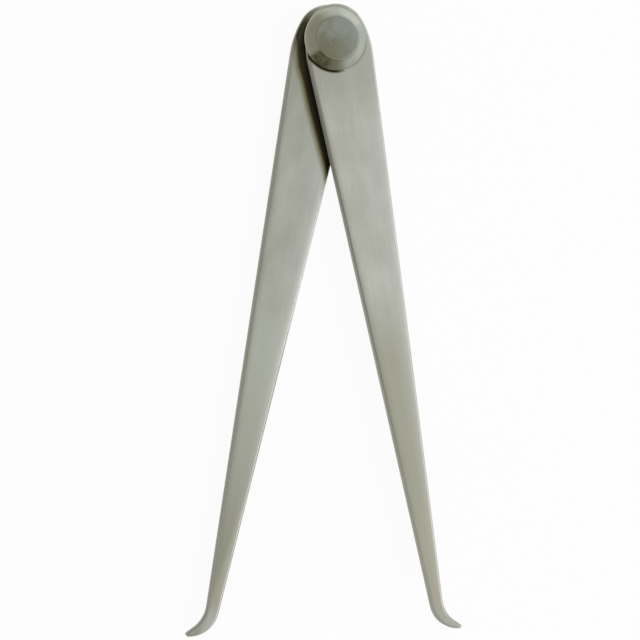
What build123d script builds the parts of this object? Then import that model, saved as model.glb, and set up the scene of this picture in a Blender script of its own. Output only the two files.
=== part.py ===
from build123d import *
import math
import os

# Inside caliper with a firm joint, lying on its back. Sizes in millimetres and degrees.
# The origin is where the joint's axis meets the back of the rear disc.
# +Z runs up the joint's axis to the front, +Y from the toes towards the joint.

# Legs: one blank of flat ground steel, used twice, the rear leg turned over
caliper_size = 150.0  # joint axis to the tip of a toe
leg_thickness = 2.5
leg_shift = 0.9  # the leg's centreline lies this far outward of the joint's axis
root_width = 17.0  # between the straight edges, level with the joint's axis
ankle_width = 3.0  # between the straight edges, where the foot starts
shoulder_drop = 5.0  # the straight edges end this far below the joint's axis
head_top = 8.5  # top of the head, above the joint's axis
crown_radius = 7.4  # round of the head between its two flanks
foot_height = 6.8  # ankle to the tip of the toe, along the leg
toe_reach = 5.75  # tip of the toe, outward of the joint's axis
toe_radius = 0.5  # round of the toe in plan
toe_slope = 45.0  # upper side of the toe, turned outward from the leg's centreline
instep_radius = 7.5  # hollow curve between the leg and the upper side of the toe
toe_thickness = 1.5  # the foot is ground thinner towards the toe, on both faces
edge_radius = 0.6  # all long edges of a leg are rounded over
legs_opening = 22.2  # between the centrelines of the legs

# Joint: a wide-headed stud, riveted into a disc of the same form at the back
disc_diameter = 15.5
disc_height = 2.2
rim_height = 0.5  # upright part of a disc's edge, under its bevel
disc_flat_diameter = 10.4  # flat inside the bevel
disc_edge_radius = 0.2
stud_diameter = 6.0
tail_flare = 0.4  # riveted end of the stud, spread into the rear disc's countersink
washer_diameter = 14.0
washer_thickness = 0.5
running_clearance = 0.05  # each side, between the stud and what turns on it
seat_clearance = 0.02  # each side, between the stud and the disc it is riveted into

# Heights of the stack, from the back of the rear disc up
rear_leg_floor = disc_height
washer_floor = rear_leg_floor + leg_thickness
front_leg_floor = washer_floor + washer_thickness
head_floor = front_leg_floor + leg_thickness
stud_top = head_floor + disc_height

running_bore_radius = stud_diameter / 2 + running_clearance
seat_bore_radius = stud_diameter / 2 + seat_clearance
upright_tolerance = 0.01  # a face is upright when its normal rises less than this


def run_into_round(start, inward, centre, radius):
    """End of the arc that leaves start square to the unit vector inward and runs on into a round."""
    across = centre - start
    arc_radius = (across.length**2 - radius**2) / (2 * (across.dot(inward) - radius))
    arc_centre = start + inward * arc_radius
    return centre + (centre - arc_centre).normalized() * radius


# Plan of a leg: x outward, y up the leg's centreline, the joint's axis at 0, 0
toe_angle = math.degrees(math.asin(toe_reach / caliper_size))
toe_centre = Vector(0, toe_radius - caliper_size).rotate(Axis.Z, toe_angle)
ankle_drop = caliper_size * math.cos(math.radians(toe_angle)) - foot_height
taper = (root_width - ankle_width) / 2 / ankle_drop
outer_rise = Vector(taper, 1).normalized()
inner_rise = Vector(-taper, 1).normalized()
outer_shoulder = Vector(leg_shift + root_width / 2 - taper * shoulder_drop, -shoulder_drop)
inner_shoulder = Vector(leg_shift - root_width / 2 + taper * shoulder_drop, -shoulder_drop)
heel = Vector(leg_shift - ankle_width / 2, -ankle_drop)

# Each flank of the head is one arc, from the straight edge into the crown
crown_centre = Vector(leg_shift, head_top - crown_radius)
outer_crown = run_into_round(outer_shoulder, outer_rise.rotate(Axis.Z, 90), crown_centre, crown_radius)
inner_crown = run_into_round(inner_shoulder, inner_rise.rotate(Axis.Z, -90), crown_centre, crown_radius)

# The sole is one arc, from the inner edge into the round of the toe
sole_end = run_into_round(heel, inner_rise.rotate(Axis.Z, -90), toe_centre, toe_radius)
toe_line = Vector(0, -1).rotate(Axis.Z, toe_slope)
toe_tip = toe_centre + toe_line * toe_radius
toe_top = toe_centre + toe_line.rotate(Axis.Z, 90) * toe_radius

# The upper side of the toe runs straight back to the outer edge, which it meets at the instep
instep_drop = (outer_shoulder - toe_top).cross(toe_line).Z / outer_rise.cross(toe_line).Z
instep = outer_shoulder - outer_rise * instep_drop

# The grinding that thins the foot starts at the ankle and follows the foot to the toe
ankle = Vector(leg_shift, -ankle_drop)
foot_line = (toe_centre - ankle).normalized()
foot_length = (toe_centre - ankle).length + toe_radius
foot_grind = (leg_thickness - toe_thickness) / 2


def make_leg(leg_plane):
    """One leg, drawn on leg_plane with x outward and y up the leg, and as thick as it is above it."""
    grind_plane = Plane(origin=ankle, x_dir=foot_line, z_dir=foot_line.rotate(Axis.Z, -90))
    with BuildPart() as leg:
        with BuildSketch(leg_plane):
            with BuildLine():
                outer_edge = Line(instep, outer_shoulder)
                TangentArc(outer_shoulder, outer_crown, tangent=outer_edge % 1)
                ThreePointArc(outer_crown, (leg_shift, head_top), inner_crown)
                inner_edge = Line(heel, inner_shoulder)
                TangentArc(inner_shoulder, inner_crown, tangent=inner_edge % 1)
                TangentArc(heel, sole_end, tangent=-(inner_edge % 0))
                ThreePointArc(sole_end, toe_tip, toe_top)
                Line(toe_top, instep)
            make_face()
            fillet(vertices().sort_by_distance(instep)[0], radius=instep_radius)
            Circle(running_bore_radius, mode=Mode.SUBTRACT)
        extrude(amount=leg_thickness)
        with BuildSketch(leg_plane.location * grind_plane):
            for face_height, inward in ((0, 1), (leg_thickness, -1)):
                with BuildLine():
                    ground_height = face_height + inward * foot_grind
                    ground = TangentArc((0, face_height), (foot_length, ground_height), tangent=(1, 0))
                    Polyline(ground @ 1, (foot_length, face_height), ground @ 0)
                make_face()
        extrude(amount=foot_length, both=True, mode=Mode.SUBTRACT)
        bore = leg.faces().filter_by(GeomType.CYLINDER).sort_by_distance(leg_plane.origin)[0]
        upright = leg.faces().filter_by(lambda face: abs(face.normal_at().Z) < upright_tolerance)
        sides = upright.filter_by(lambda face: face != bore)
        fillet(sides.edges().filter_by(Axis.Z, reverse=True), radius=edge_radius)
    return leg


front_outward = Vector(1, 0).rotate(Axis.Z, legs_opening / 2)
rear_outward = Vector(-1, 0).rotate(Axis.Z, -legs_opening / 2)
front_plane = Plane(origin=(0, 0, front_leg_floor), x_dir=front_outward, z_dir=(0, 0, 1))
rear_plane = Plane(origin=(0, 0, rear_leg_floor + leg_thickness), x_dir=rear_outward, z_dir=(0, 0, -1))
front_leg = make_leg(front_plane)
rear_leg = make_leg(rear_plane)

# The stud: its head is the front disc, bevelled to a flat, and its tail is spread flush at the back
with BuildPart() as joint_stud:
    with BuildSketch(Plane.XZ):
        with BuildLine():
            Polyline(
                (0, 0),
                (stud_diameter / 2 + tail_flare, 0),
                (stud_diameter / 2, tail_flare),
                (stud_diameter / 2, head_floor),
                (disc_diameter / 2, head_floor),
                (disc_diameter / 2, head_floor + rim_height),
                (disc_flat_diameter / 2, stud_top),
                (0, stud_top),
                close=True,
            )
        make_face()
    revolve(axis=Axis.Z)
    bevel = joint_stud.faces().filter_by(GeomType.CONE).sort_by(Axis.Z)[-1]
    fillet(bevel.edges().filter_by(GeomType.CIRCLE), radius=disc_edge_radius)

# The rear disc: as the stud's head, with a countersunk hole for the stud's tail
with BuildPart() as rear_disc:
    with BuildSketch(Plane.XZ):
        with BuildLine():
            Polyline(
                (seat_bore_radius + tail_flare, 0),
                (disc_flat_diameter / 2, 0),
                (disc_diameter / 2, disc_height - rim_height),
                (disc_diameter / 2, disc_height),
                (seat_bore_radius, disc_height),
                (seat_bore_radius, tail_flare),
                close=True,
            )
        make_face()
    revolve(axis=Axis.Z)
    bevel = rear_disc.faces().filter_by(GeomType.CONE).sort_by(Axis.Z)[-1]
    fillet(bevel.edges().filter_by(GeomType.CIRCLE), radius=disc_edge_radius)

with BuildPart() as friction_washer:
    with BuildSketch(Plane.XY.offset(washer_floor)):
        Circle(washer_diameter / 2)
        Circle(running_bore_radius, mode=Mode.SUBTRACT)
    extrude(amount=washer_thickness)

front_leg.part.label = "front_leg"
rear_leg.part.label = "rear_leg"
joint_stud.part.label = "joint_stud"
rear_disc.part.label = "rear_disc"
friction_washer.part.label = "friction_washer"

os.makedirs("parts", exist_ok=True)
export_step(front_leg.part, "parts/front_leg.step")
export_step(rear_leg.part, "parts/rear_leg.step")
export_step(joint_stud.part, "parts/joint_stud.step")
export_step(rear_disc.part, "parts/rear_disc.step")
export_step(friction_washer.part, "parts/friction_washer.step")
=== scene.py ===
import logging
import math
from dataclasses import dataclass, field, replace
from enum import Enum
from typing import Optional, Union

import bpy
from bpy.types import Material, Node, NodeOutputs, NodeSocket, NodeTree, Object
from mathutils import Euler, Matrix, Vector


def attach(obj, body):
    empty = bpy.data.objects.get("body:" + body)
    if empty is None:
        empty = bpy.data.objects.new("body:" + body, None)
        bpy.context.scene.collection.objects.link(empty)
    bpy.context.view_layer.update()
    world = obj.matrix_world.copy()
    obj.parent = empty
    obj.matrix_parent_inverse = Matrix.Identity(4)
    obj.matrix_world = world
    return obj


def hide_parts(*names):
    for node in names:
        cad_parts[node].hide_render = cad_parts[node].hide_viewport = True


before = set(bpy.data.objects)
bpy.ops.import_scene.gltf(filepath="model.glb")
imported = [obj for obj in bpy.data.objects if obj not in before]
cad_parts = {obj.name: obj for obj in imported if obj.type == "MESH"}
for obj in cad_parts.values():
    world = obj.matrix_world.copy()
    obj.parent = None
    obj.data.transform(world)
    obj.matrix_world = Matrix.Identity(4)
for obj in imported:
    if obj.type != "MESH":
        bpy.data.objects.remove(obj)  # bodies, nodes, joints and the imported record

# Looks of an inside caliper with a firm joint, lying on its back. Lengths are metres, angles degrees.
# +Z runs up the joint's axis to the front, +Y from the toes towards the joint.

MM = 0.001
PHOTO_SIDE = 640  # pixels

log = logging.getLogger("caliper")

# What an input socket takes: its value, a hex colour, a material, or the node or socket that feeds it
Value = Union[bool, int, float, tuple, str, Euler, Material, Node, NodeSocket]

# Where a fade starts and where it ends, which may lie before its start
Span = tuple[float, float]
Direction = tuple[float, float, float]

# A noise texture's values crowd round a half, so patterns are drawn from these parts of its range
NOISE_MIDDLE: Span = (0.35, 0.65)
NOISE_WIDE: Span = (0.3, 0.7)
NOISE_HIGH: Span = (0.4, 0.65)


class Side(Enum):
    """Which way a leg's toe points, as the caliper is seen from the front."""

    RIGHT = 1
    LEFT = -1


def linear_colour(code: str) -> tuple[float, float, float, float]:
    """Turns an sRGB hex colour into the linear one that shaders take.

    Args:
        code: Six hex digits after a hash sign.

    Returns:
        Red, green, blue and an alpha of one.
    """
    parts = [int(code[start : start + 2], 16) / 255 for start in (1, 3, 5)]
    red, green, blue = (((part + 0.055) / 1.055) ** 2.4 if part > 0.04045 else part / 12.92 for part in parts)
    return red, green, blue, 1.0


def add_node(
    tree: NodeTree, kind: str, inputs: Optional[dict[Union[str, int], Value]] = None, **settings: object
) -> Node:
    """Adds one node with its settings, values and links.

    Args:
        tree: The shader or geometry tree that gets the node.
        kind: The node's type, such as ShaderNodeMath.
        inputs: For each input socket, by name or number, its value or what feeds it. A node feeds it from its
            first output in use, and a hex code is a colour.
        settings: The node's own properties.

    Returns:
        The new node.
    """
    node = tree.nodes.new(kind)
    for name, value in settings.items():
        setattr(node, name, value)
    for socket, value in (inputs or {}).items():
        if isinstance(value, Node):
            value = next(output for output in value.outputs if output.enabled)
        if isinstance(value, NodeSocket):
            tree.links.new(value, node.inputs[socket])
        else:
            is_code = isinstance(value, str) and value.startswith("#")
            node.inputs[socket].default_value = linear_colour(value) if is_code else value
    return node


def new_material(name: str) -> tuple[Material, NodeTree]:
    """Starts an empty node material.

    Args:
        name: The material's name.

    Returns:
        The material and its tree.
    """
    material = bpy.data.materials.new(name)
    material.use_nodes = True
    material.node_tree.nodes.clear()
    return material, material.node_tree


def vary_roughness(tree: NodeTree, pattern: Node, roughness: Span) -> Node:
    """Lets a surface's roughness follow a pattern.

    Args:
        tree: The material's tree.
        pattern: The noise that it follows.
        roughness: Its least and its most.

    Returns:
        The node that gives the roughness.
    """
    inputs = {
        "Value": pattern,
        "From Min": NOISE_WIDE[0],
        "From Max": NOISE_WIDE[1],
        "To Min": roughness[0],
        "To Max": roughness[1],
    }
    return add_node(tree, "ShaderNodeMapRange", inputs)


def lay_colours(tree: NodeTree, base: str, layers: tuple[tuple[Node, str], ...]) -> NodeSocket:
    """Lays colours over a base, each as far as its share goes.

    Args:
        tree: The material's tree.
        base: The lowest colour.
        layers: The share and the colour of each layer, from the lowest up.

    Returns:
        The socket that gives the colour on top.
    """
    colour = base
    for share, over in layers:
        # a mix of colours takes them at its sockets 6 and 7, and gives the result at its output 2
        mix = add_node(tree, "ShaderNodeMix", {0: share, 6: colour, 7: over}, data_type="RGBA")
        colour = mix.outputs[2]
    return colour


@dataclass(frozen=True)
class Arc:
    """A stretch round the joint's axis, which fades with the cosine of the angle from its middle."""

    middle: Direction
    start: float  # the cosine at which it fades in
    end: float  # the cosine at which it is full
    most: float = 1.0

    def share(self, tree: NodeTree, spoke: Node, radius: Value) -> Node:
        """How much a point belongs to the arc.

        Args:
            tree: The material's tree.
            spoke: The level way from the joint's axis to the point.
            radius: The length that the spoke is measured by.

        Returns:
            The node that gives the share.
        """
        cosine = add_node(tree, "ShaderNodeVectorMath", {0: spoke, 1: self.middle}, operation="DOT_PRODUCT")
        cosine = add_node(tree, "ShaderNodeMath", {0: cosine.outputs["Value"], 1: radius}, operation="DIVIDE")
        inputs = {"Value": cosine, "From Min": self.start, "From Max": self.end, "To Max": self.most}
        return add_node(tree, "ShaderNodeMapRange", inputs)


@dataclass(frozen=True)
class LegPlan:
    """Plan of a leg as its finish needs it: two straight edges that run into a round head."""

    side: Side
    half_opening: float = 11.1
    shift: float = 0.9 * MM  # the centreline lies this far outward of the joint's axis
    root_width: float = 17.0 * MM  # between the straight edges, level with the axis
    ankle_width: float = 3.0 * MM
    ankle_drop: float = 143.1 * MM
    shoulder_drop: float = 5.0 * MM  # the straight edges end this far below the axis
    crown_radius: float = 7.5 * MM
    crown_rise: float = 1.1 * MM  # from the axis up to the crown's centre

    @property
    def taper(self) -> float:
        """How much half the width grows with each metre up the leg."""
        return (self.root_width - self.ankle_width) / 2 / self.ankle_drop

    def own_point(self, tree: NodeTree) -> Node:
        """The surface point in a leg's own plan, x outward from the centreline and y up the leg.

        Args:
            tree: The material's tree.

        Returns:
            The node that gives the point.
        """
        place = add_node(tree, "ShaderNodeTexCoord").outputs["Object"]
        turn = Euler((0.0, 0.0, -self.side.value * math.radians(self.half_opening)))
        turned = add_node(tree, "ShaderNodeMapping", {"Vector": place, "Rotation": turn})
        inputs = {
            "Vector": turned,
            "Scale": (self.side.value, 1.0, 1.0),
            "Location": (-self.shift, 0.0, 0.0),
        }
        return add_node(tree, "ShaderNodeMapping", inputs)

    def half_width(self, tree: NodeTree, along: NodeSocket) -> Node:
        """Half the width between the straight edges, from how far up the leg a point is."""
        inputs = {0: along, 1: self.taper, 2: self.root_width / 2}
        return add_node(tree, "ShaderNodeMath", inputs, operation="MULTIPLY_ADD")

    def rightward(self, tree: NodeTree, point: Node) -> Node:
        """How far a point lies to the right across the leg, from -1 at its left edge to 1 at its right one.

        Args:
            tree: The material's tree.
            point: The point in the leg's own plan.

        Returns:
            The node that gives the share.
        """
        parts = add_node(tree, "ShaderNodeSeparateXYZ", {0: point}).outputs
        inputs = {0: parts["X"], 1: float(self.side.value)}
        right = add_node(tree, "ShaderNodeMath", inputs, operation="MULTIPLY")
        width = self.half_width(tree, parts["Y"])
        return add_node(tree, "ShaderNodeMath", {0: right, 1: width}, operation="DIVIDE")

    def edge_distance(self, tree: NodeTree, point: Node) -> Node:
        """How far a point of the plan lies inside the leg's nearer long edge, less than nought outside it.

        Args:
            tree: The material's tree.
            point: The point in the leg's own plan.

        Returns:
            The node that gives the distance in metres.
        """
        parts = add_node(tree, "ShaderNodeSeparateXYZ", {0: point}).outputs
        straight = self.half_width(tree, parts["Y"])
        inputs = {
            "Value": parts["Y"],
            "From Min": -self.shoulder_drop,
            "From Max": self.crown_rise,
            "To Min": self.root_width / 2 - self.taper * self.shoulder_drop,
            "To Max": self.crown_radius,
        }
        head = add_node(tree, "ShaderNodeMapRange", inputs)
        reach = add_node(tree, "ShaderNodeMath", {0: straight, 1: head}, operation="MINIMUM")

        # above the crown's centre, the distance is taken round it
        above = add_node(tree, "ShaderNodeMath", {0: parts["Y"], 1: self.crown_rise}, operation="SUBTRACT")
        above = add_node(tree, "ShaderNodeMath", {0: above, 1: 0.0}, operation="MAXIMUM")
        spoke = add_node(tree, "ShaderNodeCombineXYZ", {"X": parts["X"], "Y": above})
        off_middle = add_node(tree, "ShaderNodeVectorMath", {0: spoke}, operation="LENGTH").outputs["Value"]
        return add_node(tree, "ShaderNodeMath", {0: reach, 1: off_middle}, operation="SUBTRACT")


@dataclass(frozen=True)
class GroundSteel:
    """Carbon steel stock, ground flat and tumbled.

    It gives the eye a satin grey with a faint grain along the leg, edges worn soft, painted light and shade
    on its faces and rounded edges, and a painted shadow where the legs meet.
    """

    # the flat faces, from the joint down to the foot, and what lies over them
    face: str = "#acafa5"
    cloud: str = "#a2a49a"
    streak: str = "#a0a197"
    low: str = "#aaada1"
    ankle: str = "#a3a291"
    # lighter where the foot bends, a painted highlight on the rear leg's bend; on the front leg a plain tone
    foot: str = "#afafa7"
    # painted light and shade on the faces: a sheen towards the right edge, and shade at the left edge, near
    # the joint and at the toe
    sheen: str = "#b9bbb6"
    shade: str = "#8e8f80"

    # the rounded edges, painted lighter or darker by how they face the light, and the punched sides
    rim_low: str = "#d4d4c8"
    rim_upper_lit: str = "#bcbcae"
    rim_highlight: str = "#e8eaea"
    rim_shaded: str = "#adada4"
    rim_under: str = "#cdcdc1"
    punched_side: str = "#a1a295"

    # painted shadow beside the front leg and round the front disc: its black core, and its olive edge
    shadow_black: str = "#2c291d"
    shadow_olive: str = "#66633c"

    # how the surface takes the light
    face_roughness: Span = (0.36, 0.46)
    side_added_roughness: float = 0.3
    side_metal: float = 0.45  # the punched sides carry a dull skin that hides some of the metal

    # patterns and wear
    grain_width: float = 0.35 * MM  # real grinding lines are a tenth of this, too fine to show
    grain_length: float = 14.0 * MM
    grain_depth: float = 0.0018 * MM
    grain_crispness: float = 0.6
    grain_share: float = 0.3
    mottle_width: float = 5.0 * MM
    mottle_length: float = 9.0 * MM
    mottle_seed: float = 3.0
    pattern_detail: float = 3.0
    worn_width: float = 2.1 * MM
    worn_depth: float = 0.26 * MM
    worn_curve: float = 2.0  # how fast the wear deepens towards the edge
    low_wear_and_sheen: float = 0.4  # share of the wear and sheen that is left at the foot

    # fades along the leg, as shares of the way from the joint to the ankle
    upper_span: Span = (0.9, 0.55)
    low_span: Span = (0.41, 0.57)
    ankle_span: Span = (0.75, 0.9)
    foot_span: Span = (0.98, 1.01)
    worn_span: Span = (1.0, 0.964)

    # fades by how level a face lies, and by how far it looks up, to the right and towards the joint
    rim_span: Span = (0.995, 0.85)
    side_span: Span = (0.85, 0.5)
    under_span: Span = (0.1, -0.25)
    highlight_span: Span = (0.08, 0.45)
    over_foot_span: Span = (0.05, 0.35)

    # painted light and shade: a sheen that gathers at the right, and shade at the left edge, near the joint
    # and at the toe
    sheen_span: Span = (0.0, 1.0)
    sheen_share: float = 0.6
    left_span: Span = (0.0, -0.4)
    shade_span: Span = (1.4 * MM, 0.6 * MM)
    shade_share: float = 0.4
    joint_shade_span: Span = (-22.0 * MM, -10.0 * MM)
    joint_shade_share: float = 0.4
    toe_slant: float = 0.13
    toe_span: Span = (-17.8 * MM, -16.5 * MM)
    toe_shade: float = 0.7

    # the painted shadow beside the front leg: where its olive edge and its black core fade in, outside the
    # leg's edge
    line_spans: tuple[Span, Span] = ((-3.4 * MM, -1.55 * MM), (-2.05 * MM, -1.25 * MM))
    widening_span: Span = (-9.0 * MM, -2.0 * MM)  # up the leg the line grows wider by this width
    widening_width: float = 0.5 * MM
    narrowing_span: Span = (-16.0 * MM, -36.0 * MM)  # down the leg it grows narrower by this one
    narrowing_width: float = 0.8 * MM
    inner_span: Span = (0.5 * MM, -2.0 * MM)  # it keeps to the inner side of the leg
    crown_span: Span = (8.5 * MM, 5.0 * MM)  # it starts below the top of the head
    head_span: Span = (3.0 * MM, -10.0 * MM)  # on the head it is thinner
    head_shadow: float = 0.8
    hidden_span: Span = (2.2 * MM, 1.5 * MM)  # it ends this far under the front leg

    # the painted shadow in a ring round the front disc, dark at its lower left and faint at its lower right
    ring_radius: float = 8.05 * MM
    ring_spans: tuple[Span, Span] = ((-0.5 * MM, -0.1 * MM), (-0.2 * MM, 0.0))
    ring_arcs: tuple[Arc, ...] = (
        Arc((-0.62, -0.78, 0.0), 0.5, 0.75),
        Arc((0.85, -0.53, 0.0), 0.84, 0.96, 0.16),
    )
    shadow_facing_span: Span = (0.0, 0.4)  # by how far up a face looks

    def mask_stretches(self, tree: NodeTree, plan: LegPlan, along: NodeSocket) -> dict[str, Node]:
        """How much a point belongs to each stretch of the leg.

        Args:
            tree: The material's tree.
            plan: The leg's plan.
            along: How far up the leg the point is, from the joint's axis.

        Returns:
            The node that gives the share, for each stretch by its name.
        """
        masks = {}
        for name, (start, end), interpolation in (
            ("upper", self.upper_span, "LINEAR"),
            ("low", self.low_span, "SMOOTHSTEP"),
            ("ankle", self.ankle_span, "SMOOTHSTEP"),
            ("foot", self.foot_span, "SMOOTHSTEP"),
            ("worn", self.worn_span, "LINEAR"),
        ):
            inputs = {
                "Value": along,
                "From Min": -start * plan.ankle_drop,
                "From Max": -end * plan.ankle_drop,
            }
            masks[name] = add_node(tree, "ShaderNodeMapRange", inputs, interpolation_type=interpolation)
        inputs = {"Value": masks["upper"], "To Min": self.low_wear_and_sheen, "To Max": 1.0}
        masks["strong"] = add_node(tree, "ShaderNodeMapRange", inputs)
        return masks

    def mask_rims(self, tree: NodeTree, stretches: dict[str, Node]) -> dict[str, Node]:
        """Which faces are the leg's rounded edges and its sides, by the way they look.

        Args:
            tree: The material's tree.
            stretches: The share of each stretch of the leg.

        Returns:
            The node that gives the share, for each kind of face by its name.
        """
        normal = add_node(tree, "ShaderNodeTexCoord").outputs["Normal"]
        facing = add_node(tree, "ShaderNodeSeparateXYZ", {0: normal}).outputs
        level = add_node(tree, "ShaderNodeMath", {0: facing["Z"]}, operation="ABSOLUTE")
        masks = {}
        for name, value, (start, end), interpolation in (
            ("rim", level, self.rim_span, "LINEAR"),
            ("side", level, self.side_span, "SMOOTHSTEP"),
            ("under", facing["Z"], self.under_span, "LINEAR"),
            ("lit_rim", facing["X"], self.highlight_span, "LINEAR"),
            ("over_foot", facing["Y"], self.over_foot_span, "LINEAR"),
        ):
            inputs = {"Value": value, "From Min": start, "From Max": end}
            masks[name] = add_node(tree, "ShaderNodeMapRange", inputs, interpolation_type=interpolation)
        for name, first, second in (
            ("rim_upper", masks["rim"], stretches["upper"]),
            ("rim_under", masks["rim"], masks["under"]),
            ("lit_rim_low", masks["lit_rim"], stretches["low"]),
            ("rim_foot", masks["over_foot"], stretches["foot"]),
        ):
            masks[name] = add_node(tree, "ShaderNodeMath", {0: first, 1: second}, operation="MULTIPLY")
        return masks

    def mask_light(
        self, tree: NodeTree, plan: LegPlan, own: Node, stretches: dict[str, Node]
    ) -> tuple[Node, Node]:
        """Where light is painted on the faces as a sheen, and where shade is painted on them.

        Args:
            tree: The material's tree.
            plan: The leg's plan.
            own: The surface point in the leg's own plan.
            stretches: The share of each stretch of the leg.

        Returns:
            The share of painted sheen and the share of painted shade.
        """
        parts = add_node(tree, "ShaderNodeSeparateXYZ", {0: own}).outputs
        right = plan.rightward(tree, own)
        edge = plan.edge_distance(tree, own)
        inputs = {0: parts["Y"], 1: self.toe_slant, 2: parts["X"]}
        slant = add_node(tree, "ShaderNodeMath", inputs, operation="MULTIPLY_ADD")
        fades = []
        for value, (start, end), most in (
            (right, self.sheen_span, self.sheen_share),
            (edge, self.shade_span, self.shade_share),
            (right, self.left_span, 1.0),
            (parts["Y"], self.joint_shade_span, self.joint_shade_share),
            (slant, self.toe_span, self.toe_shade),
        ):
            inputs = {"Value": value, "From Min": start, "From Max": end, "To Max": most}
            fades.append(add_node(tree, "ShaderNodeMapRange", inputs))
        sheen, shade, left, joint_shade, toe = fades
        sheen = add_node(tree, "ShaderNodeMath", {0: sheen, 1: stretches["strong"]}, operation="MULTIPLY")
        for share in (left, stretches["upper"]):
            shade = add_node(tree, "ShaderNodeMath", {0: shade, 1: share}, operation="MULTIPLY")
        lower = add_node(tree, "ShaderNodeMath", {0: 1.0, 1: stretches["upper"]}, operation="SUBTRACT")
        shade = add_node(tree, "ShaderNodeMath", {0: toe, 1: lower, 2: shade}, operation="MULTIPLY_ADD")
        shade = add_node(tree, "ShaderNodeMath", {0: shade, 1: joint_shade}, operation="MAXIMUM")
        return sheen, shade

    def trace_shadow_line(self, tree: NodeTree, plan: LegPlan) -> tuple[Node, Node]:
        """The line along the front leg's inner edge where shadow is painted on the rear leg's face.

        Args:
            tree: The material's tree.
            plan: The leg's plan.

        Returns:
            How far a point lies inside the line, and how much painted shadow the line has there.
        """
        front = replace(plan, side=Side.RIGHT)
        point = front.own_point(tree)
        parts = add_node(tree, "ShaderNodeSeparateXYZ", {0: point}).outputs
        inside = front.edge_distance(tree, point)
        for (start, end), wider in (
            (self.widening_span, self.widening_width),
            (self.narrowing_span, -self.narrowing_width),
        ):
            inputs = {"Value": parts["Y"], "From Min": start, "From Max": end, "To Max": wider}
            fade = add_node(tree, "ShaderNodeMapRange", inputs)
            inside = add_node(tree, "ShaderNodeMath", {0: inside, 1: fade}, operation="ADD")
        amount = 1.0
        for value, (start, end), least in (
            (parts["X"], self.inner_span, 0.0),
            (parts["Y"], self.crown_span, 0.0),
            (parts["Y"], self.head_span, self.head_shadow),
            (inside, self.hidden_span, 0.0),
        ):
            inputs = {"Value": value, "From Min": start, "From Max": end, "To Min": least}
            fade = add_node(tree, "ShaderNodeMapRange", inputs)
            amount = add_node(tree, "ShaderNodeMath", {0: amount, 1: fade}, operation="MULTIPLY")
        return inside, amount

    def trace_ring(self, tree: NodeTree) -> tuple[Node, Node]:
        """The ring round the front disc where shadow is painted on the front leg's face.

        Args:
            tree: The material's tree.

        Returns:
            How far a point lies inside the ring, and how much painted shadow the ring has there.
        """
        place = add_node(tree, "ShaderNodeTexCoord").outputs["Object"]
        parts = add_node(tree, "ShaderNodeSeparateXYZ", {0: place}).outputs
        spoke = add_node(tree, "ShaderNodeCombineXYZ", {"X": parts["X"], "Y": parts["Y"]})
        length = add_node(tree, "ShaderNodeVectorMath", {0: spoke}, operation="LENGTH").outputs["Value"]
        inside = add_node(tree, "ShaderNodeMath", {0: self.ring_radius, 1: length}, operation="SUBTRACT")
        amount = 0.0
        for arc in self.ring_arcs:
            share = arc.share(tree, spoke, self.ring_radius)
            amount = add_node(tree, "ShaderNodeMath", {0: amount, 1: share}, operation="MAXIMUM")
        return inside, amount

    def mask_painted_shadow(self, tree: NodeTree, plan: LegPlan) -> list[Node]:
        """Where shadow is painted: beside the front leg on the rear one, and round the disc on the front one.

        Args:
            tree: The material's tree.
            plan: The leg's plan.

        Returns:
            The share of the painted shadow's olive edge and the share of its black core.
        """
        if plan.side is Side.LEFT:
            inside, amount = self.trace_shadow_line(tree, plan)
            spans = self.line_spans
        else:
            inside, amount = self.trace_ring(tree)
            spans = self.ring_spans
        up = add_node(tree, "ShaderNodeTexCoord").outputs["Normal"]
        up = add_node(tree, "ShaderNodeSeparateXYZ", {0: up}).outputs["Z"]
        start, end = self.shadow_facing_span
        up = add_node(tree, "ShaderNodeMapRange", {"Value": up, "From Min": start, "From Max": end})
        amount = add_node(tree, "ShaderNodeMath", {0: amount, 1: up}, operation="MULTIPLY")
        shares = []
        for start, end in spans:
            inputs = {"Value": inside, "From Min": start, "From Max": end}
            band = add_node(tree, "ShaderNodeMapRange", inputs, interpolation_type="SMOOTHSTEP")
            shares.append(add_node(tree, "ShaderNodeMath", {0: band, 1: amount}, operation="MULTIPLY"))
        return shares

    def draw_patterns(self, tree: NodeTree, side: Side, own: Node) -> tuple[Node, Node, Node]:
        """The grinding grain, long and narrow, and soft blotches.

        Args:
            tree: The material's tree.
            side: The side that the leg's toe points to, which has its own blotches.
            own: The surface point in the leg's own plan.

        Returns:
            The grain's height, the share of its darker streaks and the share of the blotches.
        """
        patterns = []
        for width, length, own_inputs, dimensions in (
            (self.grain_width, self.grain_length, {"Roughness": self.grain_crispness}, "3D"),
            (self.mottle_width, self.mottle_length, {"W": side.value * self.mottle_seed}, "4D"),
        ):
            scales = (1 / width, 1 / length, 1 / width)
            stretched = add_node(tree, "ShaderNodeVectorMath", {0: own, 1: scales}, operation="MULTIPLY")
            inputs = {"Vector": stretched, "Scale": 1.0, "Detail": self.pattern_detail, **own_inputs}
            patterns.append(add_node(tree, "ShaderNodeTexNoise", inputs, noise_dimensions=dimensions))
        start, end = NOISE_MIDDLE
        shares = []
        for pattern, most in zip(patterns, (self.grain_share, 1.0)):
            inputs = {"Value": pattern, "From Min": start, "From Max": end, "To Max": most}
            shares.append(add_node(tree, "ShaderNodeMapRange", inputs))
        return patterns[0], shares[0], shares[1]

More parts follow.
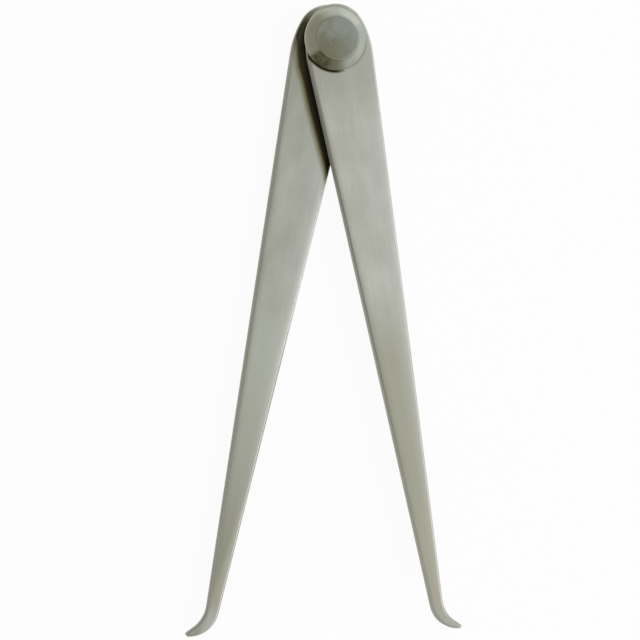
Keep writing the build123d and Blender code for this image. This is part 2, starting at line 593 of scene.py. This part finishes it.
    def shape_surface(self, tree: NodeTree, edge: Node, grain: Node, wear: Node) -> Node:
        """Wears the long edges down over a band, and lays the grain over that.

        Args:
            tree: The material's tree.
            edge: How far inside the long edge a point lies.
            grain: The grain's height.
            wear: How much of the wear shows.

        Returns:
            The node that gives the surface's normal.
        """
        inputs = {"Value": edge, "From Max": self.worn_width, "To Min": 1.0, "To Max": 0.0}
        worn = add_node(tree, "ShaderNodeMapRange", inputs)
        worn = add_node(tree, "ShaderNodeMath", {0: worn, 1: self.worn_curve}, operation="POWER")
        worn = add_node(tree, "ShaderNodeMath", {0: worn, 1: wear}, operation="MULTIPLY")
        worn = add_node(tree, "ShaderNodeBump", {"Height": worn, "Distance": self.worn_depth}, invert=True)
        inputs = {"Height": grain, "Distance": self.grain_depth, "Normal": worn}
        return add_node(tree, "ShaderNodeBump", inputs)

    def make(self, name: str, plan: LegPlan) -> Material:
        """Builds the material of one leg.

        Args:
            name: The material's name.
            plan: The leg's plan.

        Returns:
            The material.
        """
        material, tree = new_material(name)
        own = plan.own_point(tree)
        along = add_node(tree, "ShaderNodeSeparateXYZ", {0: own}).outputs["Y"]
        stretches = self.mask_stretches(tree, plan, along)
        rims = self.mask_rims(tree, stretches)
        sheen, shade = self.mask_light(tree, plan, own, stretches)
        grain, streaks, blotches = self.draw_patterns(tree, plan.side, own)
        shadow_edge_share, shadow_core_share = self.mask_painted_shadow(tree, plan)
        layers = (
            (blotches, self.cloud),
            (streaks, self.streak),
            (stretches["low"], self.low),
            (stretches["ankle"], self.ankle),
            # painted highlight where the rear leg's foot bends
            (stretches["foot"], self.foot),
            # painted sheen, then painted shade
            (sheen, self.sheen),
            (shade, self.shade),
            # rounded edges painted by how they face the light: lighter low down, in their own tone on the
            # upper leg, a painted highlight where they face right that is dimmer low down, and lighter where
            # they face down
            (rims["rim"], self.rim_low),
            (rims["rim_upper"], self.rim_upper_lit),
            (rims["lit_rim"], self.rim_highlight),
            (rims["lit_rim_low"], self.rim_shaded),
            (rims["rim_foot"], self.foot),
            (rims["side"], self.punched_side),
            (rims["rim_under"], self.rim_under),
            # painted shadow beside the front leg and round the front disc: its olive edge, then its black
            # core
            (shadow_edge_share, self.shadow_olive),
            (shadow_core_share, self.shadow_black),
        )
        inputs = {
            0: rims["side"],
            1: self.side_added_roughness,
            2: vary_roughness(tree, grain, self.face_roughness),
        }
        rough = add_node(tree, "ShaderNodeMath", inputs, operation="MULTIPLY_ADD")
        inputs = {"Value": rims["side"], "To Min": 1.0, "To Max": self.side_metal}
        metal = add_node(tree, "ShaderNodeMapRange", inputs)
        inputs = {0: stretches["worn"], 1: stretches["strong"]}
        wear = add_node(tree, "ShaderNodeMath", inputs, operation="MULTIPLY")
        inputs = {
            "Base Color": lay_colours(tree, self.face, layers),
            "Metallic": metal,
            "Roughness": rough,
            "Normal": self.shape_surface(tree, plan.edge_distance(tree, own), grain, wear),
        }
        surface = add_node(tree, "ShaderNodeBsdfPrincipled", inputs)
        add_node(tree, "ShaderNodeOutputMaterial", {"Surface": surface})
        return material


@dataclass(frozen=True)
class TurnedSteel:
    """Free-cutting steel, turned and left to dull.

    It gives the eye an olive-grey flat with cloudy patches, inside a brighter bevel with grime, painted shade
    and dirt along its low side, painted light on its left side and a painted highlight on its left lip.
    """

    flat: str = "#888c82"
    flat_dark: str = "#737260"
    flat_cool: str = "#8e958f"
    bevel: str = "#aaada4"
    # painted light on the bevel's left side, and a painted highlight on its left lip
    bevel_left_light: str = "#b4b49d"
    bevel_highlight: str = "#c3c3b0"
    # grime and painted shade along the bevel's low side
    grime_and_shade: str = "#8a8971"
    dirt: str = "#5b5737"
    roughness: Span = (0.31, 0.43)

    # patterns
    cloud_size: float = 5.0 * MM
    cloud_detail: float = 4.0
    cloud_crispness: float = 0.6
    cloud_lean: float = 0.28  # how much darker the clouds grow towards the low left
    low_left: Direction = (-0.25, -0.968, 0.0)
    speck_size: float = 1.8 * MM
    speck_detail: float = 3.0
    speck_shares: Span = (0.3, 0.9)
    groove_pitch: float = 0.3 * MM  # real turning marks are a third of this, too fine to show
    groove_depth: float = 0.003 * MM

    # fades outward from the flat's edge, which the clouds make uneven
    unevenness: float = 0.5 * MM
    bevel_span: Span = (0.1 * MM, 1.2 * MM)
    left_light_span: Span = (0.15 * MM, 0.6 * MM)
    dirt_and_shade_span: Span = (-0.1 * MM, 0.4 * MM)

    # fades across the disc, as shares of its radius
    left_span: Span = (0.0, -0.6)
    cool_span: Span = (0.1, 0.5)
    cool_share: float = 0.5
    highlight_span: Span = (0.86, 0.97)

    # where grime and painted shade lie on the bevel, and where dirt is packed
    grime_shade_arc: Arc = Arc((-0.24, -0.97, 0.0), 0.72, 0.95)
    packed_arc: Arc = Arc((-0.588, -0.809, 0.0), 0.9, 0.97)

    def draw_clouds(
        self, tree: NodeTree, place: NodeSocket, spoke: Node, outer_radius: float
    ) -> tuple[Node, Node]:
        """Cloudy patches that gather towards the disc's low left.

        Args:
            tree: The material's tree.
            place: The surface point.
            spoke: The level way from the joint's axis to the point.
            outer_radius: Radius of the disc.

        Returns:
            The clouds' pattern, and the share of them that shows.
        """
        inputs = {
            "Vector": place,
            "Scale": 1 / self.cloud_size,
            "Detail": self.cloud_detail,
            "Roughness": self.cloud_crispness,
        }
        clouds = add_node(tree, "ShaderNodeTexNoise", inputs)
        low = add_node(tree, "ShaderNodeVectorMath", {0: spoke, 1: self.low_left}, operation="DOT_PRODUCT")
        low = add_node(tree, "ShaderNodeMath", {0: low.outputs["Value"], 1: outer_radius}, operation="DIVIDE")
        inputs = {0: low, 1: self.cloud_lean, 2: clouds}
        cloudy = add_node(tree, "ShaderNodeMath", inputs, operation="MULTIPLY_ADD")
        start, end = NOISE_MIDDLE
        cloudy = add_node(tree, "ShaderNodeMapRange", {"Value": cloudy, "From Min": start, "From Max": end})
        return clouds, cloudy

    def mask_dirt_and_shade(self, tree: NodeTree, place: NodeSocket, spoke: Node, beside: Node) -> tuple[Node, Node]:
        """Where grime and painted shade darken the low side, and specks of dirt are packed against the low
        left.

        Args:
            tree: The material's tree.
            place: The surface point.
            spoke: The level way from the joint's axis to the point.
            beside: How much a point lies beside the flat.

        Returns:
            The share of grime and painted shade, and the share of dirt.
        """
        length = add_node(tree, "ShaderNodeVectorMath", {0: spoke}, operation="LENGTH").outputs["Value"]
        shares = []
        for arc in (self.grime_shade_arc, self.packed_arc):
            share = arc.share(tree, spoke, length)
            shares.append(add_node(tree, "ShaderNodeMath", {0: share, 1: beside}, operation="MULTIPLY"))
        grimy_and_shaded, packed = shares
        inputs = {"Vector": place, "Scale": 1 / self.speck_size, "Detail": self.speck_detail}
        specks = add_node(tree, "ShaderNodeTexNoise", inputs)
        inputs = {
            "Value": specks,
            "From Min": NOISE_HIGH[0],
            "From Max": NOISE_HIGH[1],
            "To Min": self.speck_shares[0],
            "To Max": self.speck_shares[1],
        }
        specks = add_node(tree, "ShaderNodeMapRange", inputs)
        return grimy_and_shaded, add_node(tree, "ShaderNodeMath", {0: packed, 1: specks}, operation="MULTIPLY")

    def make(self, name: str, flat_radius: float, outer_radius: float) -> Material:
        """Builds the material of a turned disc.

        Args:
            name: The material's name.
            flat_radius: Radius of the disc's flat, inside its bevel.
            outer_radius: Radius of the disc.

        Returns:
            The material.
        """
        material, tree = new_material(name)
        place = add_node(tree, "ShaderNodeTexCoord").outputs["Object"]
        parts = add_node(tree, "ShaderNodeSeparateXYZ", {0: place}).outputs
        spoke = add_node(tree, "ShaderNodeCombineXYZ", {"X": parts["X"], "Y": parts["Y"]})
        radius = add_node(tree, "ShaderNodeVectorMath", {0: spoke}, operation="LENGTH").outputs["Value"]
        clouds, cloudy = self.draw_clouds(tree, place, spoke, outer_radius)

        # rings round the flat, and fades across the disc
        inputs = {0: clouds, 1: self.unevenness, 2: radius}
        uneven = add_node(tree, "ShaderNodeMath", inputs, operation="MULTIPLY_ADD")
        rings = []
        for (start, end), interpolation in (
            (self.bevel_span, "SMOOTHSTEP"),
            (self.left_light_span, "LINEAR"),
            (self.dirt_and_shade_span, "LINEAR"),
        ):
            inputs = {"Value": uneven, "From Min": flat_radius + start, "From Max": flat_radius + end}
            rings.append(add_node(tree, "ShaderNodeMapRange", inputs, interpolation_type=interpolation))
        bevel, left_light, beside = rings
        fades = []
        for value, (start, end), most in (
            (parts["X"], self.left_span, 1.0),
            (parts["X"], self.cool_span, self.cool_share),
            (radius, self.highlight_span, 1.0),
        ):
            inputs = {
                "Value": value,
                "From Min": start * outer_radius,
                "From Max": end * outer_radius,
                "To Max": most,
            }
            fades.append(add_node(tree, "ShaderNodeMapRange", inputs))
        left, cool, lit_rim = fades
        left_light = add_node(tree, "ShaderNodeMath", {0: left, 1: left_light}, operation="MULTIPLY")
        lit_rim = add_node(tree, "ShaderNodeMath", {0: lit_rim, 1: left_light}, operation="MULTIPLY")
        grimy_and_shaded, dirty = self.mask_dirt_and_shade(tree, place, spoke, beside)
        layers = (
            (cloudy, self.flat_dark),
            (cool, self.flat_cool),
            (bevel, self.bevel),
            # painted light on the bevel's left side, and a painted highlight on its left lip
            (left_light, self.bevel_left_light),
            (lit_rim, self.bevel_highlight),
            (grimy_and_shaded, self.grime_and_shade),
            (dirty, self.dirt),
        )
        ring = add_node(tree, "ShaderNodeCombineXYZ", {"X": radius})
        grooves = add_node(tree, "ShaderNodeTexNoise", {"Vector": ring, "Scale": 1 / self.groove_pitch})
        inputs = {
            "Base Color": lay_colours(tree, self.flat, layers),
            "Metallic": 1.0,
            "Roughness": vary_roughness(tree, clouds, self.roughness),
            "Normal": add_node(tree, "ShaderNodeBump", {"Height": grooves, "Distance": self.groove_depth}),
        }
        surface = add_node(tree, "ShaderNodeBsdfPrincipled", inputs)
        add_node(tree, "ShaderNodeOutputMaterial", {"Surface": surface})
        return material


@dataclass(frozen=True)
class VulcanisedFibre:
    """Vulcanised fibre sheet, stamped into a washer.

    It gives the eye a thin line that is nearly black with oil, with a soft speckle.
    """

    base: str = "#241e19"
    speck: str = "#3a3128"
    roughness: Span = (0.52, 0.68)
    ior: float = 1.5
    fleck_size: float = 0.4 * MM
    fleck_detail: float = 3.0
    fleck_depth: float = 0.01 * MM

    def make(self, name: str) -> Material:
        """Builds the material of the washer.

        Args:
            name: The material's name.

        Returns:
            The material.
        """
        material, tree = new_material(name)
        place = add_node(tree, "ShaderNodeTexCoord").outputs["Object"]
        inputs = {"Vector": place, "Scale": 1 / self.fleck_size, "Detail": self.fleck_detail}
        flecks = add_node(tree, "ShaderNodeTexNoise", inputs)
        start, end = NOISE_HIGH
        speckle = add_node(tree, "ShaderNodeMapRange", {"Value": flecks, "From Min": start, "From Max": end})
        inputs = {
            "Base Color": lay_colours(tree, self.base, ((speckle, self.speck),)),
            "Roughness": vary_roughness(tree, flecks, self.roughness),
            "Normal": add_node(tree, "ShaderNodeBump", {"Height": flecks, "Distance": self.fleck_depth}),
            "IOR": self.ior,
        }
        surface = add_node(tree, "ShaderNodeBsdfPrincipled", inputs)
        add_node(tree, "ShaderNodeOutputMaterial", {"Surface": surface})
        return material


def dress(node: str, material: Material) -> None:
    """Gives a carried-over CAD node its material.

    Args:
        node: The CAD node's name.
        material: What it is made of.
    """
    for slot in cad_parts[node].material_slots:
        slot.material = material
    log.info("%s dressed in %s", node, material.name)


@dataclass
class Leg:
    """One leg of the caliper, a CAD node that is kept and dressed."""

    node: str
    plan: LegPlan
    finish: GroundSteel = field(default_factory=GroundSteel)

    def dress(self) -> None:
        """Gives the leg its ground steel."""
        side = self.plan.side.name.lower()
        dress(self.node, self.finish.make(f"ground_steel_{side}", self.plan))


@dataclass
class Lathe:
    """Geometry nodes that turn an outline round the joint's axis and leave it slightly worn."""

    steps_round: int = 144
    step_along: float = 0.13 * MM
    corner_radius: float = 0.2 * MM
    corner_steps: int = 4
    wear_size: float = 2.2 * MM
    wear_depth: float = 0.03 * MM
    merge_distance: float = 0.001 * MM

    def sweep(self, tree: NodeTree, given: NodeOutputs) -> Node:
        """Adds the nodes that round the outline's corners and turn it round the axis.

        Args:
            tree: The geometry tree.
            given: The tree's inputs.

        Returns:
            The node that gives the turned shape.
        """
        inputs = {
            "Curve": add_node(tree, "GeometryNodeMeshToCurve", {"Mesh": given["Outline"]}),
            "Radius": given["Corner Radius"],
            "Count": self.corner_steps,
            "Limit Radius": True,
        }
        curve = add_node(tree, "GeometryNodeFilletCurve", inputs, mode="POLY")

        # a grid, moved so that its sides run from nought to one, x along the outline, y once round the axis
        inputs = {
            "Size X": 1.0,
            "Size Y": 1.0,
            "Vertices X": given["Points Along"],
            "Vertices Y": given["Points Round"],
        }
        grid = add_node(tree, "GeometryNodeMeshGrid", inputs).outputs["Mesh"]
        inputs = {0: add_node(tree, "GeometryNodeInputPosition"), 1: (0.5, 0.5, 0.0)}
        share = add_node(tree, "ShaderNodeVectorMath", inputs)
        share = add_node(tree, "ShaderNodeSeparateXYZ", {0: share}).outputs
        inputs = {"Curves": curve, "Factor": share["X"]}
        profile = add_node(tree, "GeometryNodeSampleCurve", inputs, mode="FACTOR").outputs["Position"]
        profile = add_node(tree, "ShaderNodeSeparateXYZ", {0: profile}).outputs
        angle = add_node(tree, "ShaderNodeMath", {0: share["Y"], 1: math.tau}, operation="MULTIPLY")
        place = {"Z": profile["Z"]}
        for axis, operation in (("X", "COSINE"), ("Y", "SINE")):
            part = add_node(tree, "ShaderNodeMath", {0: angle}, operation=operation)
            place[axis] = add_node(tree, "ShaderNodeMath", {0: profile["X"], 1: part}, operation="MULTIPLY")
        place = add_node(tree, "ShaderNodeCombineXYZ", place)
        turned = add_node(tree, "GeometryNodeSetPosition", {"Geometry": grid, "Position": place})
        turned = add_node(tree, "GeometryNodeFlipFaces", {"Mesh": turned})
        inputs = {"Geometry": turned, "Distance": self.merge_distance}
        return add_node(tree, "GeometryNodeMergeByDistance", inputs)

    def build_tree(self) -> NodeTree:
        """Builds the node tree, with its sizes as named inputs.

        Returns:
            The tree.
        """
        tree = bpy.data.node_groups.new("turning", "GeometryNodeTree")
        for name, kind in (
            ("Outline", "NodeSocketGeometry"),
            ("Corner Radius", "NodeSocketFloat"),
            ("Points Along", "NodeSocketInt"),
            ("Points Round", "NodeSocketInt"),
            ("Wear Size", "NodeSocketFloat"),
            ("Wear Depth", "NodeSocketFloat"),
            ("Seed", "NodeSocketFloat"),
            ("Finish", "NodeSocketMaterial"),
        ):
            tree.interface.new_socket(name, in_out="INPUT", socket_type=kind)
        tree.interface.new_socket("Piece", in_out="OUTPUT", socket_type="NodeSocketGeometry")
        given = add_node(tree, "NodeGroupInput").outputs
        turned = self.sweep(tree, given)

        # wear, always inward, so that nothing grows into its neighbour
        inputs = {
            "Vector": add_node(tree, "GeometryNodeInputPosition"),
            "W": given["Seed"],
            "Scale": add_node(tree, "ShaderNodeMath", {0: 1.0, 1: given["Wear Size"]}, operation="DIVIDE"),
        }
        noise = add_node(tree, "ShaderNodeTexNoise", inputs, noise_dimensions="4D")
        depth = add_node(tree, "ShaderNodeMath", {0: noise, 1: given["Wear Depth"]}, operation="MULTIPLY")
        depth = add_node(tree, "ShaderNodeMath", {0: depth, 1: -1.0}, operation="MULTIPLY")
        inputs = {0: add_node(tree, "GeometryNodeInputNormal"), "Scale": depth}
        inward = add_node(tree, "ShaderNodeVectorMath", inputs, operation="SCALE")
        turned = add_node(tree, "GeometryNodeSetPosition", {"Geometry": turned, "Offset": inward})
        turned = add_node(tree, "GeometryNodeSetShadeSmooth", {"Geometry": turned, "Shade Smooth": True})
        turned = add_node(tree, "GeometryNodeRealizeInstances", {"Geometry": turned})
        turned = add_node(tree, "GeometryNodeSetMaterial", {"Geometry": turned, "Material": given["Finish"]})
        add_node(tree, "NodeGroupOutput", {"Piece": turned})
        return tree

    def turn(
        self, name: str, outline: list[tuple[float, float]], closed: bool, seed: float, material: Material
    ) -> Object:
        """Turns one piece and makes it a plain mesh.

        Args:
            name: The piece's name.
            outline: Radius and height of each corner, in order, with the piece on its left.
            closed: Whether the outline's end joins its start.
            seed: Picks the pattern of the wear.
            material: What the piece is made of.

        Returns:
            The piece.
        """
        mesh = bpy.data.meshes.new(f"{name}_outline")
        count = len(outline)
        edges = [(corner, (corner + 1) % count) for corner in range(count if closed else count - 1)]
        mesh.from_pydata([(radius, 0.0, height) for radius, height in outline], edges, [])
        length = sum(math.dist(outline[start], outline[end]) for start, end in edges)
        piece = bpy.data.objects.new(name, mesh)
        bpy.context.scene.collection.objects.link(piece)
        modifier = piece.modifiers.new("turning", "NODES")
        modifier.node_group = self.build_tree()
        values = {
            "Corner Radius": self.corner_radius,
            "Points Along": round(length / self.step_along) + 1,
            "Points Round": self.steps_round + 1,
            "Wear Size": self.wear_size,
            "Wear Depth": self.wear_depth,
            "Seed": seed,
            "Finish": material,
        }
        for item in modifier.node_group.interface.items_tree:
            if item.in_out == "INPUT" and item.name in values:
                modifier[item.identifier] = values[item.name]
        shape = piece.evaluated_get(bpy.context.evaluated_depsgraph_get())
        result = bpy.data.meshes.new_from_object(shape)
        piece.modifiers.remove(modifier)
        piece.data = result
        bpy.data.meshes.remove(mesh)
        return piece


@dataclass
class Joint:
    """The friction joint: a stud headed by the front disc, a rear disc, and a washer between the legs."""

    disc_radius: float = 7.75 * MM
    disc_height: float = 2.2 * MM
    rim_height: float = 0.5 * MM
    flat_radius: float = 5.2 * MM
    stud_radius: float = 3.0 * MM
    seat_radius: float = 3.02 * MM
    tail_flare: float = 0.4 * MM
    head_floor: float = 7.7 * MM
    stud_seed: float = 1.0  # this and the next pick the pattern of the wear
    disc_seed: float = 5.0
    lathe: Lathe = field(default_factory=Lathe)
    steel: TurnedSteel = field(default_factory=TurnedSteel)

    def turn_stud(self) -> None:
        """Turns the stud with its wide bevelled head and spread tail."""
        top = self.head_floor + self.disc_height
        outline = [
            (0.0, 0.0),
            (self.stud_radius + self.tail_flare, 0.0),
            (self.stud_radius, self.tail_flare),
            (self.stud_radius, self.head_floor),
            (self.disc_radius, self.head_floor),
            (self.disc_radius, self.head_floor + self.rim_height),
            (self.flat_radius, top),
            (0.0, top),
        ]
        finish = self.steel.make("turned_steel_stud", self.flat_radius, self.disc_radius)
        self.place(self.lathe.turn("turned_stud", outline, False, self.stud_seed, finish), "joint_stud")

    def turn_rear_disc(self) -> None:
        """Turns the rear disc, with the countersunk hole for the stud's tail."""
        outline = [
            (self.seat_radius + self.tail_flare, 0.0),
            (self.flat_radius, 0.0),
            (self.disc_radius, self.disc_height - self.rim_height),
            (self.disc_radius, self.disc_height),
            (self.seat_radius, self.disc_height),
            (self.seat_radius, self.tail_flare),
        ]
        finish = self.steel.make("turned_steel_disc", self.flat_radius, self.disc_radius)
        self.place(self.lathe.turn("turned_rear_disc", outline, True, self.disc_seed, finish), "rear_disc")

    def place(self, piece: Object, node: str) -> None:
        """Puts a turned piece in the place of its CAD node.

        Args:
            piece: The turned piece.
            node: The CAD node that it stands for.
        """
        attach(piece, "rear_half")
        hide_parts(node)
        log.info("%s turned for %s, %d faces", piece.name, node, len(piece.data.polygons))

    def build(self) -> None:
        """Makes the turned pieces and dresses the washer."""
        self.turn_stud()
        self.turn_rear_disc()
        dress("friction_washer", VulcanisedFibre().make("vulcanised_fibre"))


@dataclass(frozen=True)
class Panel:
    """A soft light panel: where its middle is, its width and height, and how bright its face is."""

    name: str
    middle: tuple[float, float, float]
    size: tuple[float, float]
    radiance: float


@dataclass
class Studio:
    """A plain white table under soft panels, with the darker side of the room to the left."""

    floor_side: float = 6.0
    floor_colour: str = "#fafaf9"
    floor_fill: float = 0.93  # share of plain white in the floor, where the camera sees it
    white: str = "#ffffff"
    room_strength: float = 0.42
    aim: tuple[float, float, float] = (0.0, -0.07, 0.0)  # the middle of the caliper, which the panels face
    panels: tuple[Panel, ...] = (
        Panel("overhead_panel", (0.12, 0.0, 0.85), (0.9, 1.2), 0.6),
        Panel("key_panel", (0.72, -0.35, 0.65), (1.1, 0.5), 1.6),
        Panel("right_panel", (0.87, 0.24, 0.2), (1.9, 0.42), 0.6),
        Panel("upper_panel", (0.42, 0.86, 0.3), (1.4, 0.6), 0.67),
    )

    def make_table(self) -> Material:
        """Builds the floor's material, which is clear from below.

        Returns:
            The material.
        """
        material, tree = new_material("white_table")
        rays = add_node(tree, "ShaderNodeLightPath").outputs
        seen = rays["Is Camera Ray"]
        for ray in ("Is Glossy Ray", "Is Transmission Ray"):
            seen = add_node(tree, "ShaderNodeMath", {0: seen, 1: rays[ray]}, operation="MAXIMUM")
        fill = add_node(tree, "ShaderNodeMath", {0: seen, 1: self.floor_fill}, operation="MULTIPLY")
        matt = add_node(tree, "ShaderNodeBsdfDiffuse", {"Color": self.floor_colour})
        white = add_node(tree, "ShaderNodeEmission", {"Color": self.white, "Strength": 1.0})
        table = add_node(tree, "ShaderNodeMixShader", {0: fill, 1: matt, 2: white})
        below = add_node(tree, "ShaderNodeNewGeometry").outputs["Backfacing"]
        clear = add_node(tree, "ShaderNodeBsdfTransparent")
        table = add_node(tree, "ShaderNodeMixShader", {0: below, 1: table, 2: clear})
        add_node(tree, "ShaderNodeOutputMaterial", {"Surface": table})
        return material

    def build_floor(self) -> None:
        """Lays the floor under the caliper."""
        half = self.floor_side / 2
        corners = [(-half, -half, 0.0), (half, -half, 0.0), (half, half, 0.0), (-half, half, 0.0)]
        mesh = bpy.data.meshes.new("floor")
        mesh.from_pydata(corners, [], [(0, 1, 2, 3)])
        mesh.materials.append(self.make_table())
        floor = bpy.data.objects.new("floor", mesh)
        bpy.context.scene.collection.objects.link(floor)

    def hang(self, panel: Panel) -> None:
        """Hangs one light panel, which only its light gives away.

        Args:
            panel: The panel.
        """
        middle = Vector(panel.middle)
        light = bpy.data.lights.new(panel.name, "AREA")
        light.shape = "RECTANGLE"
        light.size, light.size_y = panel.size
        light.energy = panel.radiance * math.pi * panel.size[0] * panel.size[1]
        lamp = bpy.data.objects.new(panel.name, light)
        lamp.rotation_euler = (Vector(self.aim) - middle).to_track_quat("-Z", "Y").to_euler()
        lamp.location = middle
        lamp.visible_camera = False
        bpy.context.scene.collection.objects.link(lamp)

    def light(self) -> None:
        """Hangs the panels and sets the room's light."""
        for panel in self.panels:
            self.hang(panel)
        world = bpy.data.worlds.new("room")
        world.use_nodes = True
        background = world.node_tree.nodes["Background"]
        background.inputs["Color"].default_value = linear_colour(self.white)
        background.inputs["Strength"].default_value = self.room_strength
        bpy.context.scene.world = world


@dataclass(frozen=True)
class Viewpoint:
    """The camera of the photograph: nearly straight down on the caliper, a little from its left."""

    azimuth: float = 15.55
    elevation: float = 1.63
    roll: float = 0.61
    distance: float = 499.9 * MM
    target: tuple[float, float, float] = (-2.25 * MM, -68.77 * MM, 5.0 * MM)
    pixels_per_metre: float = 4063.1  # at the target
    sensor: float = 36.0  # millimetres, as the camera takes it
    clip: Span = (0.01, 20.0)

    def build(self) -> None:
        """Makes the camera and gives it to the scene."""
        side, up = math.radians(self.azimuth), math.radians(self.elevation)
        back = Vector((-math.sin(side) * math.cos(up), math.sin(up), math.cos(side) * math.cos(up)))
        right = Vector((0.0, 1.0, 0.0)).cross(back).normalized()
        axes = Matrix((right, back.cross(right), back)).transposed()
        camera = bpy.data.cameras.new("camera")
        camera.sensor_width = self.sensor
        camera.lens = self.pixels_per_metre * self.distance * self.sensor / PHOTO_SIDE
        camera.clip_start, camera.clip_end = self.clip
        holder = bpy.data.objects.new("camera", camera)
        turn = axes.to_4x4() @ Matrix.Rotation(math.radians(self.roll), 4, "Z")
        holder.matrix_world = Matrix.Translation(Vector(self.target) + back * self.distance) @ turn
        bpy.context.scene.collection.objects.link(holder)
        bpy.context.scene.camera = holder


def main() -> None:
    """Builds and dresses the caliper, then the studio and the camera."""
    logging.basicConfig(level=logging.INFO, format="%(message)s")
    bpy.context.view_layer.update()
    Viewpoint().build()

    # the front leg is lighter in tone than the rear one, with lighter painted sides, darker painted upper
    # rims, a dimmer painted highlight and no painted shade at its toe; its edges are less worn
    front = GroundSteel(
        face="#babcb3",
        cloud="#aeb0a7",
        low="#a1a192",
        ankle="#a6a494",
        foot="#a3a396",
        punched_side="#b2b3a6",
        rim_upper_lit="#a6a697",
        rim_highlight="#cccecb",
        rim_shaded="#bdbeb6",
        worn_depth=0.16 * MM,
        toe_shade=0.0,
    )
    Leg("rear_leg", LegPlan(Side.LEFT)).dress()
    Leg("front_leg", LegPlan(Side.RIGHT), front).dress()
    Joint().build()
    studio = Studio()
    studio.build_floor()
    studio.light()
    bpy.context.scene.view_settings.view_transform = "Standard"


if __name__ == "__main__":
    main()
